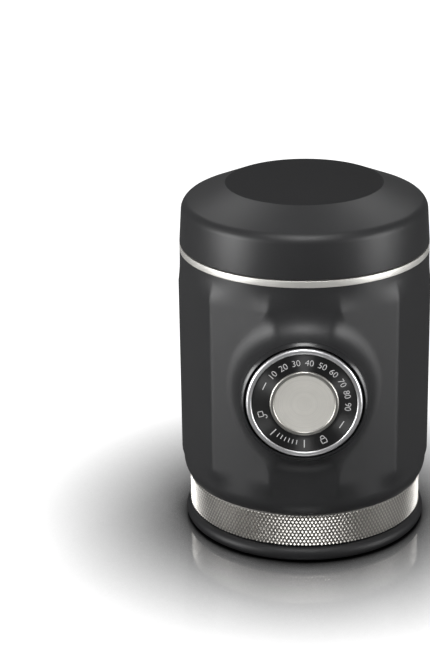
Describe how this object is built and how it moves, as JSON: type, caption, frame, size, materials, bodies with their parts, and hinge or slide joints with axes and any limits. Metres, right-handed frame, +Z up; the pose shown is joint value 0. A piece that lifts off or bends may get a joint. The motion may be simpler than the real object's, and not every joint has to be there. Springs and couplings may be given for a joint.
{
  "type": "handheld manual espresso maker",
  "caption": "Handheld manual espresso maker: faceted black body with a screw lid over a steel water tank, a locking piston knob on its front, and a knurled ring that holds the coffee basket.",
  "frame": {"origin": "on the body's axis, at the underside of the base cap", "axes": "+Z up along the body, -Y is the front that the knob faces, +X to the right of a viewer at the front"},
  "size_m": [0.071, 0.078, 0.102],
  "materials": {
    "black_plastic": "satin charcoal black moulding",
    "inner_plastic": "plain black moulding",
    "white_plastic": "plain food-safe moulding",
    "gloss_black": "glossy black",
    "base_rubber": "soft matt black",
    "seal_rubber": "black seal rubber",
    "silicone": "translucent white silicone",
    "steel": "turned stainless steel",
    "satin_steel": "satin stainless steel",
    "knurled_steel": "diamond-knurled stainless steel",
    "chrome": "polished"
  },
  "bodies": {
    "main": {"body_shell": "black_plastic", "thread_collar": "steel", "boss_bush": "inner_plastic", "tank_liner": "steel", "tank_oring": "seal_rubber", "tank_gasket": "silicone", "tank_nut": "steel", "inlet_strainer": "silicone", "pump_block": "inner_plastic", "pump_cylinder": "steel", "rod_guide": "white_plastic", "inlet_valve_seat": "white_plastic", "outlet_valve_cap": "white_plastic", "outlet_seal": "silicone", "brew_head": "inner_plastic", "shower_screen": "steel", "shower_screw": "steel", "group_gasket": "silicone", "clamp_screws": "steel", "inlet_valve_spring": "steel", "outlet_valve_spring": "steel"},
    "lid_lift": {"lid_seal": "silicone"},
    "lid": {"lid_shell": "black_plastic", "lid_liner": "inner_plastic", "lid_vent_valve": "silicone"},
    "knob_turn": {"spring_washer": "white_plastic", "return_spring": "steel"},
    "piston": {"piston_knob": "black_plastic", "chrome_bezel": "chrome", "dial_ring": "gloss_black", "button_plate": "satin_steel", "plunger_rod": "steel", "plunger_head": "white_plastic", "plunger_seal": "seal_rubber", "plunger_screw": "steel"},
    "inlet_ball": {"inlet_valve_ball": "steel"},
    "outlet_ball": {"outlet_valve_ball": "steel"},
    "basket": {"filter_basket": "steel"},
    "portafilter": {"portafilter_ring": "knurled_steel"},
    "base": {"base_cap": "base_rubber"}
  },
  "joints": [
    {"name": "lid_lift", "type": "slide", "parent": "main", "child": "lid_lift", "axis": [0, 0, 1], "range_m": [0, 0.025]},
    {"name": "lid_turn", "type": "hinge", "parent": "lid_lift", "child": "lid", "pos_m": [0, 0, 0.094], "axis": [0, 0, 1], "range_deg": [0, 450]},
    {"name": "knob_unlock", "type": "hinge", "parent": "main", "child": "knob_turn", "pos_m": [0, -0.0124, 0.052], "axis": [0, -1, 0], "range_deg": [0, 45]},
    {"name": "piston_stroke", "type": "slide", "parent": "knob_turn", "child": "piston", "axis": [0, -1, 0], "range_m": [0, 0.02], "deforming": ["return_spring"]},
    {"name": "inlet_valve_lift", "type": "slide", "parent": "main", "child": "inlet_ball", "axis": [0, 0, -1], "range_m": [0, 0.001], "stiffness_N_per_m": 40, "springref_m": -0.002, "deforming": ["inlet_valve_spring"]},
    {"name": "outlet_valve_lift", "type": "slide", "parent": "main", "child": "outlet_ball", "axis": [0, 0, -1], "range_m": [0, 0.001], "stiffness_N_per_m": 40, "springref_m": -0.002, "deforming": ["outlet_valve_spring"]},
    {"name": "portafilter_drop", "type": "slide", "parent": "main", "child": "basket", "axis": [0, 0, -1], "range_m": [0, 0.025]},
    {"name": "portafilter_turn", "type": "hinge", "parent": "basket", "child": "portafilter", "pos_m": [0, 0, 0.009], "axis": [0, 0, -1], "range_deg": [0, 540]},
    {"name": "base_cap_pull", "type": "slide", "parent": "portafilter", "child": "base", "axis": [0, 0, -1], "range_m": [0, 0.015]}
  ]
}
